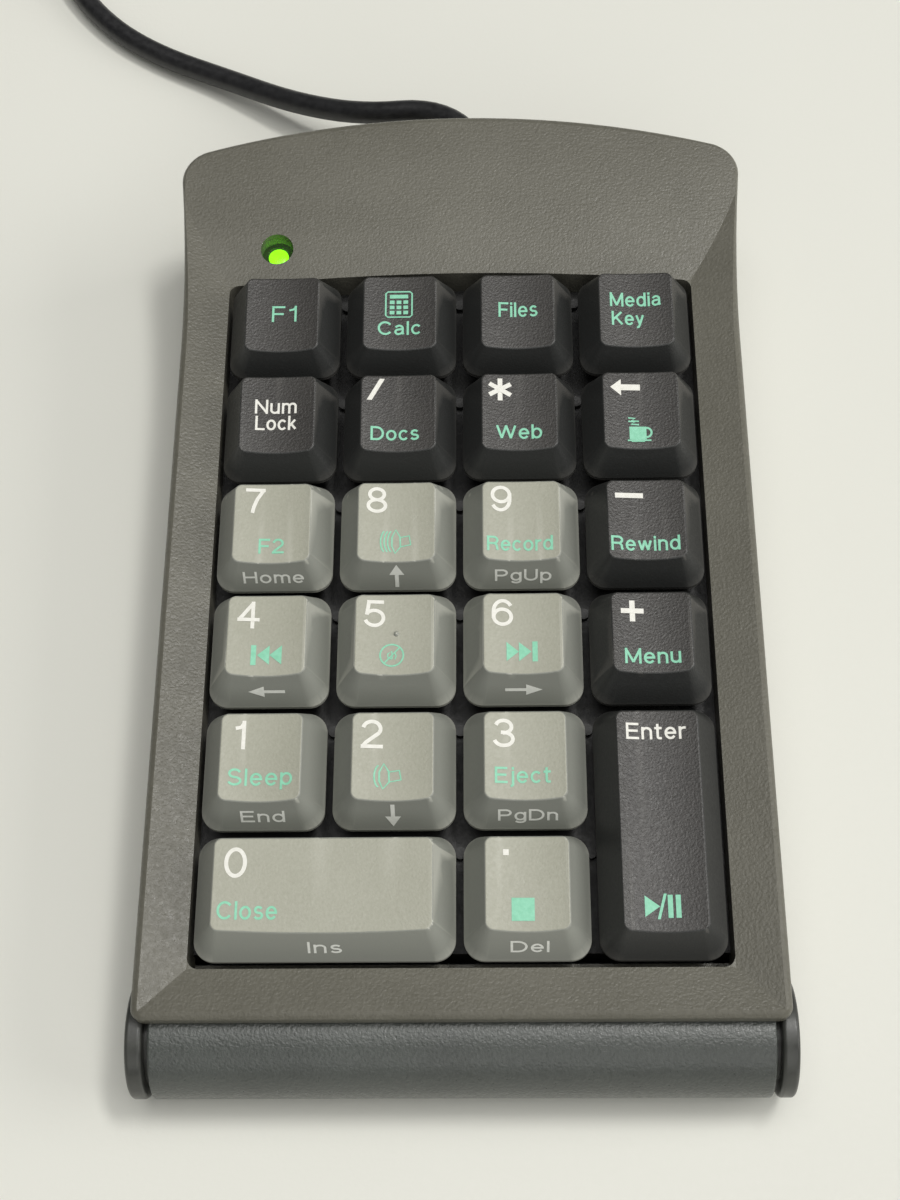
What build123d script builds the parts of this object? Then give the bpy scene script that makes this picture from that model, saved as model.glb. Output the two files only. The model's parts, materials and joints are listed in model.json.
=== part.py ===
"""Numeric keypad with a sculpted case, a round front roll and sprung keys.

Row frame, in millimetres: +X to the user's right, +Y away from the user, +Z up, origin at the
centre of the base on the surface that it stands on. The key deck is tilted up towards the rear,
so most pieces are drawn in the deck frame (deck X, deck Y, and deck Z square to the key plane,
with Z = 0 at the rim of the key well and X = Y = 0 at the centre of the key block).
"""
from math import atan2, cos, degrees, hypot, pi, radians, sin, tan
import os

from build123d import *

# ---- key block -----------------------------------------------------------------------------
PITCH = 19.05               # key spacing, both ways
COLUMNS, ROWS = 4, 6
SKIRT = 17.94               # foot of a one-unit keycap
SKIRT_CORNER = 3.0
SKIRT_BAND = 0.7            # upright band at the foot of the skirt
TOP_WIDTH = 11.8            # keytop between its two sides
TOP_CORNER = 1.1
TOP_EDGE = 0.3              # rounding along the edge of the keytop
DISH = 0.6                  # depth of the cylindrical dish
CAP_WALL = 1.25
CEILING = 4.5               # underside of the keytop
TRAVEL = 3.5
STEM = 5.8
STEM_FOOT = -7.0

# each row from the rear: front and back edge of the keytop from the key's centre, their heights
ROW_TOPS = [
    (-6.65, 6.35, 6.1, 6.9),
    (-6.25, 6.75, 6.2, 6.8),
    (-6.35, 6.55, 6.3, 6.6),
    (-5.75, 6.75, 6.5, 6.4),
    (-6.00, 6.95, 6.5, 6.5),
    (-5.80, 7.30, 6.4, 6.5),
]

# node name, column and row of the key's centre, width and depth in key units
KEYS = [
    ("key_f1", 0, 0, 1, 1), ("key_calculator", 1, 0, 1, 1),
    ("key_files", 2, 0, 1, 1), ("key_media", 3, 0, 1, 1),
    ("key_num_lock", 0, 1, 1, 1), ("key_divide", 1, 1, 1, 1),
    ("key_multiply", 2, 1, 1, 1), ("key_backspace", 3, 1, 1, 1),
    ("key_7", 0, 2, 1, 1), ("key_8", 1, 2, 1, 1), ("key_9", 2, 2, 1, 1), ("key_minus", 3, 2, 1, 1),
    ("key_4", 0, 3, 1, 1), ("key_5", 1, 3, 1, 1), ("key_6", 2, 3, 1, 1), ("key_plus", 3, 3, 1, 1),
    ("key_1", 0, 4, 1, 1), ("key_2", 1, 4, 1, 1), ("key_3", 2, 4, 1, 1),
    ("key_enter", 3, 4.5, 1, 2), ("key_0", 0.5, 5, 2, 1), ("key_point", 2, 5, 1, 1),
]

# ---- case ----------------------------------------------------------------------------------
TILT = 2.5                  # slope of the key deck, degrees
SIDE_X = 45.9               # half width along the straight sides
FRONT_Y = -64.7             # front lip, deck frame
WAIST_Y = 45.0              # where the sides start to flare
FLARE_X, FLARE_Y = 48.1, 82.2
REAR_Y = 89.9               # middle of the rear edge
FRONT_CORNER, REAR_CORNER = 1.8, 6.0
WELL_X = 38.5               # half width of the key well
WELL_FRONT, WELL_BACK, WELL_ARCH = -57.4, 57.1, 1.9
WELL_CORNER = 1.6
STRIP_RISE = 0.25           # rise of the side strips per millimetre outwards
FRONT_RISE = 0.25
HEADER_MID, HEADER_END = (73.0, 2.05), (92.0, 3.3)
EDGE_Z = 1.6                # height of the outer edge before it is rounded
EDGE_BEND, EDGE_CLIMB, EDGE_END = 44.0, (60.0, 1.92), (100.0, 3.65)
EDGE_ROUND = 1.4            # outer rounding of the top case
WALL = 2.0
WELL_WALL = 1.3
PARTING = -7.0              # top case meets bottom case
SEAM = 0.3                  # the bottom case is this much smaller all round
FOOT_GAP = 1.2              # clear height under the bottom case
FLOOR = 2.0

# ---- front roll ----------------------------------------------------------------------------
ROLL_Y, ROLL_Z = -65.3, -10.0   # its axis, deck frame
ROLL_R = 8.3
ROLL_GAP = 0.45
ROLL_HALF = 43.8
ROLL_BORE = 6.1
CAP_IN, CAP_OUT = 44.6, 47.0    # inner and outer face of an end cap
CRADLE_R = ROLL_R + ROLL_GAP
CRADLE_WALL = 1.6
TENON_X = (-26.0, 26.0)

# ---- inside --------------------------------------------------------------------------------
FRAME_TOP, FRAME_THICK = -5.0, 1.5
FRAME_X, FRAME_FRONT, FRAME_BACK = 40.6, -54.3, 60.0
CHIMNEY_OUT, CHIMNEY_IN, CHIMNEY_TOP = 9.2, 6.3, 0.3
BOSS_TOP, BOSS_R = -4.1, 0.9  # bosses between the keycaps
DOME_TOP, SHEET_TOP, SHEET_THICK = -7.3, -11.2, 0.6
DOME_BASE_R, DOME_TOP_R, DOME_WALL = 4.5, 3.0, 0.6
MEMBRANE_THICK = 0.4
PLATE_THICK = 0.8
BOARD_Y, BOARD_SIZE, BOARD_THICK = 72.0, (62.0, 19.0), 1.6
LAMP_X, LAMP_Y = -30.75, 63.9
LAMP_HOLE = 5.5
LAMP_TOP = -1.6
SCREW_SPOTS = [(-42.0, -46.0), (42.0, -46.0), (-42.0, 14.0), (42.0, 14.0), (-39.0, 72.0), (39.0, 72.0)]
SCREW_ROOM = 3.3            # clearance round the side screws' columns
PLATE_POSTS = [(x, y) for x in (-30.0, 0.0, 30.0) for y in (-44.0, 0.0, 50.0)]
BOARD_POSTS = [(-31.0, 79.0), (-31.0, 68.0), (25.5, 79.0), (25.5, 71.0)]
FRAME_SCREWS = [(x * 19.05, y * 19.05) for x, y in ((-1, 1), (1, 1), (-1, -1), (1, -1), (0, 2), (0, -2))]
FOOT_SPOTS = [(-34.0, -44.0), (34.0, -44.0), (-34.0, 66.0), (34.0, 66.0)]
FOOT_R = 5.0

# ---- cord ----------------------------------------------------------------------------------
CORD = 4.1                  # diameter
EXIT_X, EXIT_Z = 4.0, 14.0  # where it leaves the rear wall, row frame
# route of the stretch that isn't coiled, row frame
ROUTE = [
    (4.0, 74.0, 14.0), (4.0, 87.5, 14.0), (-4.5, 96.8, 12.6), (-18.5, 98.4, 9.6),
    (-32.0, 105.0, 5.8), (-45.5, 113.7, 3.1), (-60.0, 121.0, 2.4), (-71.0, 129.6, 2.3),
    (-79.5, 141.2, 2.6), (-85.0, 155.0, 4.6), (-86.4, 169.5, 7.2),
]
COIL_X, COIL_Y = -116.0, 176.0
COIL_MID = 22.9             # radius of the middle turn; five turns wide, two layers deep
COIL_IN, COIL_OUT = COIL_MID - 2.5 * CORD, COIL_MID + 2.5 * CORD
COIL_FOOT, COIL_HEIGHT = 0.9, 2 * CORD
TIE_WIDTH, TIE_THICK = 5.0, 0.7
TAIL = [(-147.0, 172.0, 3.2), (-147.6, 160.0, 3.7), (-146.8, 148.5, 6.35), (-145.6, 137.5, 6.35)]
PLUG_R, PLUG_LENGTH, BOOT_LENGTH = 6.3, 22.0, 9.0
SHELL_R, SHELL_WALL, SHELL_LENGTH = 4.75, 0.4, 8.0

TILT_SIN, TILT_COS = sin(radians(TILT)), cos(radians(TILT))
DECK_Z = ROLL_R - ROLL_Y * TILT_SIN - ROLL_Z * TILT_COS     # stands the roll on Z = 0
DECK_Y = -8.71              # centres the case and roll on Y = 0
DECK = Location((0, DECK_Y, DECK_Z), (TILT, 0, 0))

os.makedirs("parts", exist_ok=True)


# ---- helpers -------------------------------------------------------------------------------
def save(name, shape):
    """Write one node."""
    export_step(shape, f"parts/{name}.step")


def on_deck(shape):
    """Move a shape from the deck frame to the row frame."""
    return DECK * shape


def key_centre(column, row):
    return (column - (COLUMNS - 1) / 2) * PITCH, ((ROWS - 1) / 2 - row) * PITCH


def slab(face, low, high):
    """A flat face of the XY plane, extruded between two heights."""
    return extrude(Pos(0, 0, low) * face, high - low)


def block(x0, x1, y0, y1, z0, z1):
    return Pos((x0 + x1) / 2, (y0 + y1) / 2, (z0 + z1) / 2) * Box(x1 - x0, y1 - y0, z1 - z0)


def post(x, y, radius, low, high):
    return Pos(x, y, (low + high) / 2) * Cylinder(radius, high - low)


def bar_x(y, z, radius, x0, x1):
    """A cylinder along X."""
    return Pos((x0 + x1) / 2, y, z) * Rot(0, 90, 0) * Cylinder(radius, x1 - x0)


def bar_y(x, z, radius, y0, y1):
    """A cylinder along Y."""
    return Pos(x, (y0 + y1) / 2, z) * Rot(90, 0, 0) * Cylinder(radius, y1 - y0)


# ---- outlines ------------------------------------------------------------------------------
def case_outline(inset=0.0):
    """Plan of the case: straight sides, a flare towards the rear and a bowed rear edge."""
    side, front = SIDE_X - inset, FRONT_Y + inset
    flare, flare_y, rear = FLARE_X - inset, FLARE_Y - inset, REAR_Y - inset
    edges = [
        Line((-side, front), (side, front)),
        Line((side, front), (side, WAIST_Y)),
        TangentArc((side, WAIST_Y), (flare, flare_y), tangent=(0, 1)),
        ThreePointArc((flare, flare_y), (0, rear), (-flare, flare_y)),
        TangentArc((-side, WAIST_Y), (-flare, flare_y), tangent=(0, 1)),
        Line((-side, WAIST_Y), (-side, front)),
    ]
    face = make_face(edges)
    fronts = [v for v in face.vertices() if v.Y < front + 1]
    face = fillet(fronts, max(FRONT_CORNER - inset, 0.5))
    rears = [v for v in face.vertices() if v.Y > flare_y - 1]
    return fillet(rears, max(REAR_CORNER - inset, 1.0))


def well_outline(grow=0.0):
    """Plan of the key well: a rectangle whose rear edge is a shallow arch."""
    x, front, back = WELL_X + grow, WELL_FRONT - grow, WELL_BACK + grow
    edges = [
        Line((-x, front), (x, front)),
        Line((x, front), (x, back)),
        ThreePointArc((x, back), (0, back + WELL_ARCH), (-x, back)),
        Line((-x, back), (-x, front)),
    ]
    face = make_face(edges)
    return fillet(face.vertices(), WELL_CORNER + grow)


def cradle():
    """Space cleared for the front roll and its end caps."""
    return bar_x(ROLL_Y, ROLL_Z, CRADLE_R, -60, 60)


# ---- top case ------------------------------------------------------------------------------
def above_the_bezel():
    """Everything above the bezel: side strips, front strip and header slope in to the well."""
    high, far = 20.0, 60.0
    strip = (far - WELL_X) * STRIP_RISE
    across = make_face([
        Line((-WELL_X, 0), (WELL_X, 0)), Line((WELL_X, 0), (far, strip)),
        Line((far, strip), (far, high)), Line((far, high), (-far, high)),
        Line((-far, high), (-far, strip)), Line((-far, strip), (-WELL_X, 0)),
    ])
    side_strips = extrude(Plane.XZ * across, 150, both=True)
    front_far = -80.0
    front_high = (WELL_FRONT - front_far) * FRONT_RISE
    end_y, end_z = HEADER_END
    along = make_face([
        Line((WELL_FRONT, 0), (WELL_BACK, 0)),
        ThreePointArc((WELL_BACK, 0), HEADER_MID, HEADER_END),
        Line(HEADER_END, (end_y + 10, end_z)), Line((end_y + 10, end_z), (end_y + 10, high)),
        Line((end_y + 10, high), (front_far, high)), Line((front_far, high), (front_far, front_high)),
        Line((front_far, front_high), (WELL_FRONT, 0)),
    ])
    ends = extrude(Plane.YZ * along, 80, both=True)
    return side_strips & ends


def rounded_outer_block():
    """The case's outer shape before the bezel is cut, with its top edge rounded."""
    far = -100.0
    top = make_face([
        Line((far, -30), (far, EDGE_Z)), Line((far, EDGE_Z), (EDGE_BEND, EDGE_Z)),
        TangentArc((EDGE_BEND, EDGE_Z), EDGE_CLIMB, tangent=(1, 0)),
        Line(EDGE_CLIMB, EDGE_END), Line(EDGE_END, (EDGE_END[0], -30)), Line((EDGE_END[0], -30), (far, -30)),
    ])
    body = slab(case_outline(), PARTING, 12) & extrude(Plane.YZ * top, 80, both=True)
    edges = [e for e in body.edges() if e.bounding_box().min.Z > 0.5 and not crosses_middle(e)]
    return fillet(edges, EDGE_ROUND)


def crosses_middle(edge):
    """An edge that runs across the top rather than along the outline."""
    box = edge.bounding_box()
    return box.size.X > 60 and box.size.Y < 0.5 and abs(box.max.Y - FRONT_Y) > 1


def screw_boss(x, y, top):
    """A hollow boss under the bezel, which a case screw is driven into."""
    return post(x, y, 2.3, PARTING, top)


def make_top_case():
    body = rounded_outer_block() - above_the_bezel()
    inner = case_outline(WALL)
    ring = slab(inner, PARTING - 1, -1.2) - slab(well_outline(WELL_WALL), FRAME_TOP, 5)
    ring -= block(-60, 60, -80, FRAME_FRONT, -20, 10)
    header = slab(inner, -3, 0.6) & block(-60, 60, WELL_BACK + WELL_ARCH + 10, 100, -5, 5)
    body -= ring + header
    body -= slab(well_outline(), -20, 12)
    body -= cradle()
    for x, y in SCREW_SPOTS:
        body += screw_boss(x, y, 1.0 if y > WELL_BACK else -1.0)
    for x, y in SCREW_SPOTS:
        body -= post(x, y, 0.95, PARTING - 1, -1.6)
    body -= post(LAMP_X, LAMP_Y, LAMP_HOLE / 2, -5, 12)
    return body


# ---- bottom case ---------------------------------------------------------------------------
def floor_post(x, y, radius):
    """A post from the bottom case's floor up to the parting line."""
    return post(x, y, radius, -30, PARTING)


def make_bottom_case():
    solid_above = block(-90, 90, -120, 120, FOOT_GAP, 60)
    room_above = block(-90, 90, -120, 120, FOOT_GAP + FLOOR, 60)
    outer = on_deck(slab(case_outline(SEAM), -40, PARTING)) & solid_above
    outer = chamfer(outer.faces().sort_by(Axis.Z)[0].edges(), 0.8)
    inner = on_deck(slab(case_outline(SEAM + WALL), -40, PARTING + 1))
    inner -= on_deck(bar_x(ROLL_Y, ROLL_Z, CRADLE_R + CRADLE_WALL, -60, 60))
    body = outer - on_deck(cradle()) - (inner & room_above)
    for x, y in SCREW_SPOTS:
        body += on_deck(floor_post(x, y, 2.9)) & solid_above & on_deck(slab(case_outline(SEAM), -40, 0))
    for x, y in PLATE_POSTS:
        body += on_deck(post(x, y, 2.0, -40, PLATE_TOP - PLATE_THICK)) & solid_above
    for x, y in BOARD_POSTS:
        body += on_deck(post(x, y, 2.0, -40, BOARD_TOP - BOARD_THICK)) & solid_above
    for x, y in SCREW_SPOTS:
        body -= on_deck(post(x, y, 1.15, -40, 0))
        body -= on_deck(post(x, y, 2.1, -40, screw_seat(y)))
    for x in TENON_X:
        body -= on_deck(tenon(x, 0.0))
    for x, y in FOOT_SPOTS:
        body -= post(x, y, FOOT_R + 0.05, -1, FOOT_GAP + 0.6)
    body -= bar_y(EXIT_X, EXIT_Z, 3.0, 70, 100)
    return body


def screw_seat(y):
    """Deck height of a counterbore's floor, a fixed depth into the underside."""
    return (FOOT_GAP + 3.2 - DECK_Z - TILT_SIN * y) / TILT_COS


def tenon(x, slack):
    """A tongue on the roll that a slot in the cradle wall holds."""
    back = ROLL_Y + CRADLE_R + CRADLE_WALL - 0.2
    return block(x - 3 - slack, x + 3 + slack, ROLL_Y + 6.5, back, ROLL_Z - 1.5, ROLL_Z + 1.5)


# ---- roll and end caps ---------------------------------------------------------------------
def make_front_roll():
    roll = bar_x(ROLL_Y, ROLL_Z, ROLL_R, -ROLL_HALF, ROLL_HALF)
    ends = roll.edges().filter_by(GeomType.CIRCLE)
    roll = fillet(ends, 0.4)
    for x in TENON_X:
        roll += tenon(x, -0.02)
    return roll - bar_x(ROLL_Y, ROLL_Z, ROLL_BORE, -50, 50)


def make_end_cap(side):
    """A disc at one end of the roll, plugged into its bore. side is -1 or 1."""
    disc = bar_x(ROLL_Y, ROLL_Z, ROLL_R, CAP_IN, CAP_OUT)
    disc = fillet(disc.edges().filter_by(GeomType.CIRCLE), 0.6)
    disc -= bar_x(ROLL_Y, ROLL_Z, 5.6, CAP_OUT - 0.35, CAP_OUT + 1)
    neck = bar_x(ROLL_Y, ROLL_Z, ROLL_BORE - 0.05, ROLL_HALF - 6, CAP_IN + 0.2)
    hollow = bar_x(ROLL_Y, ROLL_Z, ROLL_BORE - 1.6, ROLL_HALF - 7, CAP_IN + 0.4)
    cap = disc + (neck - hollow)
    return cap if side > 0 else mirror(cap, about=Plane.YZ)


# ---- keys ----------------------------------------------------------------------------------
def rounded(width, depth, radius, x=0.0, y=0.0):
    return Pos(x, y) * RectangleRounded(width, depth, radius)


def keytop_plane(front, back, z_front, z_back):
    """Plane of the keytop's rim, with its origin at the middle of the top."""
    angle = degrees(atan2(z_back - z_front, back - front))
    return Location((0, (front + back) / 2, (z_front + z_back) / 2), (angle, 0, 0))


def make_keycap(width, depth, row):
    """A hollow cap with sloping sides and a dished top on a square stem."""
    grow_x, grow_y = (width - 1) * PITCH, (depth - 1) * PITCH
    front, back, z_front, z_back = ROW_TOPS[int(row)]
    front, back = front - grow_y / 2, back + grow_y / 2
    foot = rounded(SKIRT + grow_x, SKIRT + grow_y, SKIRT_CORNER)
    rim = keytop_plane(front, back, z_front, z_back)
    top = rim * rounded(TOP_WIDTH + grow_x, back - front, TOP_CORNER)
    cap = slab(foot, 0, SKIRT_BAND) + loft([Pos(0, 0, SKIRT_BAND) * foot, top], ruled=True)
    half = (TOP_WIDTH + grow_x) / 2
    dish_r = (half ** 2 + DISH ** 2) / (2 * DISH)
    cap -= rim * Pos(0, 0, dish_r - DISH) * Rot(90, 0, 0) * Cylinder(dish_r, 80)
    cap = fillet(cap.faces().sort_by(Axis.Z)[-1].edges(), TOP_EDGE)
    inside_foot = rounded(SKIRT + grow_x - 2 * CAP_WALL, SKIRT + grow_y - 2 * CAP_WALL, 2.0)
    middle = (front + back) / 2
    inside_top = rounded(TOP_WIDTH + grow_x - 0.4, back - front - 1.0, 0.8, 0, middle)
    cap -= loft([inside_foot, Pos(0, 0, CEILING) * inside_top], ruled=True)
    stem = block(-STEM / 2, STEM / 2, -STEM / 2, STEM / 2, STEM_FOOT, CEILING + 0.2)
    stem = chamfer(stem.edges().filter_by(Axis.Z), 0.7)
    stem -= post(0, 0, 1.8, STEM_FOOT - 1, STEM_FOOT + 6)
    return cap + stem


# ---- stabilisers ---------------------------------------------------------------------------
WIRE_R = 0.7
WIRE_PIVOT_Z = -4.15        # centre of the pivot bar, deck frame
WIRE_ARM = 8.6
WIRE_REST, WIRE_PRESSED = 30.0, 5.35    # arm's slope when the key is up and down, degrees
WIRE_HALF = 12.5            # half the length of the pivot bar
WIRE_SPREAD = 5.4           # pivot bar's distance behind the key's centre
WIRE_TIP = 2.2


def stabiliser_frame(name):
    """Location of a wide key's own stabiliser frame: X along the key's long side."""
    column, row = next((k[1], k[2]) for k in KEYS if k[0] == name)
    x, y = key_centre(column, row)
    return Location((x, y, 0), (0, 0, 0 if name == "key_0" else 90))


def arm_tip():
    """Tip of the arms with the key up, as distance along the arm direction and height."""
    slope = radians(WIRE_REST)
    return WIRE_SPREAD - WIRE_ARM * cos(slope), WIRE_PIVOT_Z + WIRE_ARM * sin(slope)


def make_stabiliser(name):
    """A bent wire: a pivot bar, two arms and two short tips that hook under the cap."""
    tip_y, tip_z = arm_tip()
    wire = bar_x(WIRE_SPREAD, WIRE_PIVOT_Z, WIRE_R, -WIRE_HALF, WIRE_HALF)
    for side in (-1, 1):
        x = side * WIRE_HALF
        start, end = Vector(x, WIRE_SPREAD, WIRE_PIVOT_Z), Vector(x, tip_y, tip_z)
        wire += Solid.make_cylinder(WIRE_R, WIRE_ARM, Plane(origin=start, z_dir=end - start))
        wire += Pos(start) * Sphere(WIRE_R) + Pos(end) * Sphere(WIRE_R)
        inner = x - side * WIRE_TIP
        wire += bar_x(tip_y, tip_z, WIRE_R, min(x, inner), max(x, inner))
    return stabiliser_frame(name) * wire


def stabiliser_hooks():
    """Two lugs under a wide cap, each with a slot for a tip of the wire."""
    tip_y, tip_z = arm_tip()
    hooks = []
    for side in (-1, 1):
        x = side * (WIRE_HALF - 1.8)
        lug = block(x - 0.6, x + 0.6, tip_y - 2.2, tip_y + 2.0, tip_z - 1.45, CEILING + 0.1)
        slot = block(x - 1, x + 1, tip_y - 3.0, tip_y + 1.0, tip_z - 0.85, tip_z + 0.85)
        hooks.append(lug - slot)
    return hooks


def make_key(name, column, row, width, depth):
    key = make_keycap(width, depth, row)
    if width * depth > 1:
        turn = Rot(0, 0, 0 if width > 1 else 90)
        for hook in stabiliser_hooks():
            key += turn * hook
    x, y = key_centre(column, row)
    if name == "key_5":
        key += homing_dot()
    return on_deck(Pos(x, y, 0) * key)


def homing_dot():
    """The raised dot that a finger finds on the 5."""
    front, back, z_front, z_back = ROW_TOPS[3]
    return Pos(0.25, 0.55, (z_front + z_back) / 2 - DISH - 0.12) * Sphere(0.45)


# ---- key frame and switch layers -----------------------------------------------------------
def make_key_frame():
    """Plate with a square guide for each stem, small bosses between the keys and a skirt below."""
    foot = SHEET_TOP
    plate = block(-FRAME_X, FRAME_X, FRAME_FRONT, FRAME_BACK, FRAME_TOP - FRAME_THICK, FRAME_TOP)
    skirt = block(-FRAME_X, FRAME_X, FRAME_FRONT, FRAME_BACK, foot, FRAME_TOP)
    skirt -= block(-FRAME_X + 1.5, FRAME_X - 1.5, FRAME_FRONT + 1.5, FRAME_BACK - 1.5, foot - 1, 0)
    frame = plate + skirt
    for x, y in FRAME_SCREWS:
        frame += post(x, y, 2.2, foot, FRAME_TOP - 0.2)
    for column in range(1, COLUMNS):
        for row in range(ROWS):
            x, y = key_centre(column - 0.5, row - 0.5)
            frame += post(x, y - 1.6, BOSS_R, FRAME_TOP - 0.2, BOSS_TOP)
    guides = [key_centre(column, row) for _, column, row, _, _ in KEYS]
    half = CHIMNEY_OUT / 2
    for x, y in guides:
        guide = block(x - half, x + half, y - half, y + half, FRAME_TOP - 0.2, CHIMNEY_TOP)
        frame += chamfer(guide.edges().filter_by(Axis.Z), 1.0)
    half = CHIMNEY_IN / 2
    for x, y in guides:
        frame -= block(x - half, x + half, y - half, y + half, -20, 5)
    for name in ("key_0", "key_enter"):
        frame += stabiliser_frame(name) * wire_clips()
    for x, y in FRAME_SCREWS:
        frame -= post(x, y, 0.82, foot - 1, FRAME_TOP - 1.0)
    return on_deck(frame - side_screw_room())


def side_screw_room():
    """Clears the switch stack round the columns of the side screws."""
    columns = [post(x, y, SCREW_ROOM, -30, 5) for x, y in SCREW_SPOTS if y < WELL_BACK]
    return Part() + columns


def frame_screw_holes():
    return Part() + [post(x, y, 1.0, -30, 0) for x, y in FRAME_SCREWS]


def wire_clips():
    """Two saddles that hold the pivot bar of a stabiliser wire."""
    clips = []
    for side in (-1, 1):
        x = side * (WIRE_HALF - 4.5)
        clip = block(x - 1, x + 1, WIRE_SPREAD - 1.6, WIRE_SPREAD + 1.6, FRAME_TOP - 0.1, WIRE_PIVOT_Z + 1.5)
        clip -= bar_x(WIRE_SPREAD, WIRE_PIVOT_Z, WIRE_R + 0.06, x - 2, x + 2)
        clips.append(clip - block(x - 2, x + 2, WIRE_SPREAD - 0.5, WIRE_SPREAD + 0.5, WIRE_PIVOT_Z, 0))
    return clips[0] + clips[1]


def make_dome_sheet():
    """Rubber sheet with a hollow dome under each stem."""
    low = SHEET_TOP - SHEET_THICK
    sheet = block(-FRAME_X + 2, FRAME_X - 2, FRAME_FRONT + 0.2, FRAME_BACK - 2.5, low, SHEET_TOP)
    height = DOME_TOP - low
    dome = Pos(0, 0, low + height / 2) * Cone(DOME_BASE_R, DOME_TOP_R, height)
    void_height = height - 0.9
    void = Pos(0, 0, low + void_height / 2) * Cone(DOME_BASE_R - DOME_WALL, DOME_TOP_R - DOME_WALL, void_height)
    for _, column, row, _, _ in KEYS:
        sheet += Pos(*key_centre(column, row)) * dome
    for _, column, row, _, _ in KEYS:
        sheet -= Pos(*key_centre(column, row)) * void
    return on_deck(sheet - frame_screw_holes())


def layer(high, thick, tail):
    """A flat switch layer under the domes, with an optional tail to the circuit board."""
    sheet = block(-FRAME_X, FRAME_X, FRAME_FRONT, FRAME_BACK, high - thick, high)
    if tail:
        sheet += block(8, 22, FRAME_BACK - 1, BOARD_Y - 3, high - thick, high)
    return sheet - side_screw_room() - frame_screw_holes()


MEMBRANE_TOP = SHEET_TOP - SHEET_THICK
PLATE_TOP = MEMBRANE_TOP - MEMBRANE_THICK
BOARD_TOP = PLATE_TOP


def make_membrane():
    return on_deck(layer(MEMBRANE_TOP, MEMBRANE_THICK, True))


def make_back_plate():
    plate = layer(PLATE_TOP, PLATE_THICK, False)
    lip = block(-FRAME_X, FRAME_X, FRAME_BACK - PLATE_THICK, FRAME_BACK, PLATE_TOP - 3, PLATE_TOP)
    return on_deck(plate + lip)


# ---- electronics ---------------------------------------------------------------------------
def make_circuit_board():
    width, depth = BOARD_SIZE
    board = block(-width / 2 - 3, width / 2 - 3, BOARD_Y - depth / 2 + 0.6, BOARD_Y + depth / 2,
                  BOARD_TOP - BOARD_THICK, BOARD_TOP)
    for x in CLAMP_PEGS:
        board -= post(x, CLAMP_Y, 1.0, -30, 0)
    return on_deck(board)


def make_controller_chip():
    """A dual in-line controller: a moulded body on two rows of legs."""
    x, y = -12.0, BOARD_Y + 2.5
    chip = block(x - 10, x + 10, y - 3.2, y + 3.2, BOARD_TOP + 0.5, BOARD_TOP + 3.8)
    chip = chamfer(chip.edges().filter_by(Axis.X), 0.4)
    for i in range(8):
        leg_x = x - 8.9 + i * 2.54
        for side in (-1, 1):
            foot = y + side * 3.8
            leg = block(leg_x - 0.3, leg_x + 0.3, foot - 0.15, foot + 0.15, BOARD_TOP, BOARD_TOP + 2.2)
            arm = block(leg_x - 0.3, leg_x + 0.3, min(foot, y), max(foot, y), BOARD_TOP + 1.9, BOARD_TOP + 2.2)
            chip += leg + arm
    return on_deck(chip)


def make_board_capacitor():
    x, y = 24.0, BOARD_Y + 5.0
    can = post(x, y, 2.5, BOARD_TOP, BOARD_TOP + 7.5)
    return on_deck(fillet(can.edges().filter_by(GeomType.CIRCLE).sort_by(Axis.Z)[-1:], 0.5))


def make_cord_socket():
    """Wire-to-board connector for the cord's inner leads."""
    low = BOARD_TOP
    housing = block(-1.5, 9.5, BOARD_Y + 1.0, BOARD_Y + 6.5, low, low + 5.5)
    mouth = block(-0.5, 8.5, BOARD_Y + 4.0, BOARD_Y + 7.0, low + 1.0, low + 4.5)
    return on_deck(housing - mouth)


def make_inner_leads():
    """The cord's bared leads, from its jacket to the socket."""
    y0, y1 = BOARD_Y + 4.2, 82.0
    z = BOARD_TOP + 1.9
    leads = [bar_y(EXIT_X - 1.5 + 1.0 * i, z, 0.4, y0, y1) for i in range(4)]
    return [on_deck(lead) for lead in leads]


CLAMP_Y, CLAMP_PEGS = BOARD_Y - 5.2, (6.4, 23.6)


def make_tail_clamp():
    """Bar that presses the membrane's tail on the board, with a peg at each end."""
    low = MEMBRANE_TOP
    clamp = block(4.8, 25.2, CLAMP_Y - 1.8, CLAMP_Y + 1.8, low, low + 2.6)
    for x in CLAMP_PEGS:
        clamp += post(x, CLAMP_Y, 0.95, BOARD_TOP - BOARD_THICK - 0.8, low + 1)
    return on_deck(clamp)


def make_indicator_lamp():
    """A small lamp on two leads, under its window in the header."""
    bulb = post(LAMP_X, LAMP_Y, 1.5, LAMP_TOP - 4.0, LAMP_TOP - 1.4)
    bulb += Pos(LAMP_X, LAMP_Y, LAMP_TOP - 1.5) * Sphere(1.5)
    bulb += post(LAMP_X, LAMP_Y, 1.9, LAMP_TOP - 5.0, LAMP_TOP - 4.0)
    for side in (-1, 1):
        x = LAMP_X + side * 1.27
        bulb += block(x - 0.25, x + 0.25, LAMP_Y - 0.25, LAMP_Y + 0.25, BOARD_TOP, LAMP_TOP - 4.9)
    return on_deck(bulb)


def make_lamp_window():
    """Clear plug that sits a little below the header's surface."""
    window = post(LAMP_X, LAMP_Y, LAMP_HOLE / 2 - 0.05, -1.1, 0.3)
    window += post(LAMP_X, LAMP_Y, LAMP_HOLE / 2 + 0.6, -1.9, -1.25)
    window += post(LAMP_X, LAMP_Y, LAMP_HOLE / 2 - 0.05, -1.3, -1.0)
    return on_deck(window - post(LAMP_X, LAMP_Y, 1.75, -5, -1.0))


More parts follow.
